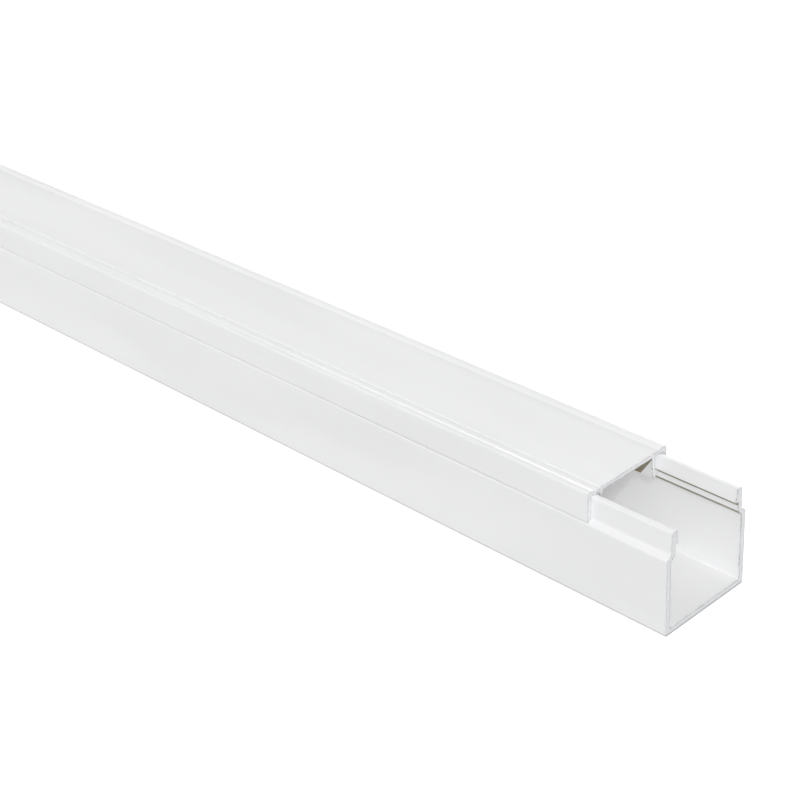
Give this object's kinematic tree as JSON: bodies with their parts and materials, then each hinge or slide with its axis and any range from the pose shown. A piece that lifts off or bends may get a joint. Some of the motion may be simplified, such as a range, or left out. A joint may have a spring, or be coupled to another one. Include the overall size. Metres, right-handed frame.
{
  "type": "cable trunking with clip-on lid",
  "caption": "Straight stick of square white plastic cable trunking: an open channel with barbed rails, and a clip-on lid drawn back from one end.",
  "frame": {"origin": "middle of the channel's flat back, half way along the channel and on its centre line", "axes": "+X along the trunking, towards the end where the lid is drawn back; +Z out of the open side, from the back to the lid; Y across"},
  "size_m": [2.032, 0.04, 0.04],
  "materials": {
    "channel": "satin",
    "lid": "satin"
  },
  "bodies": {
    "channel": {"channel": "channel"},
    "lid": {"lid": "lid"}
  },
  "joints": [
    {"name": "lid_slide", "type": "slide", "parent": "channel", "child": "lid", "axis": [1, 0, 0], "range_m": [-0.5, 0.032]}
  ]
}
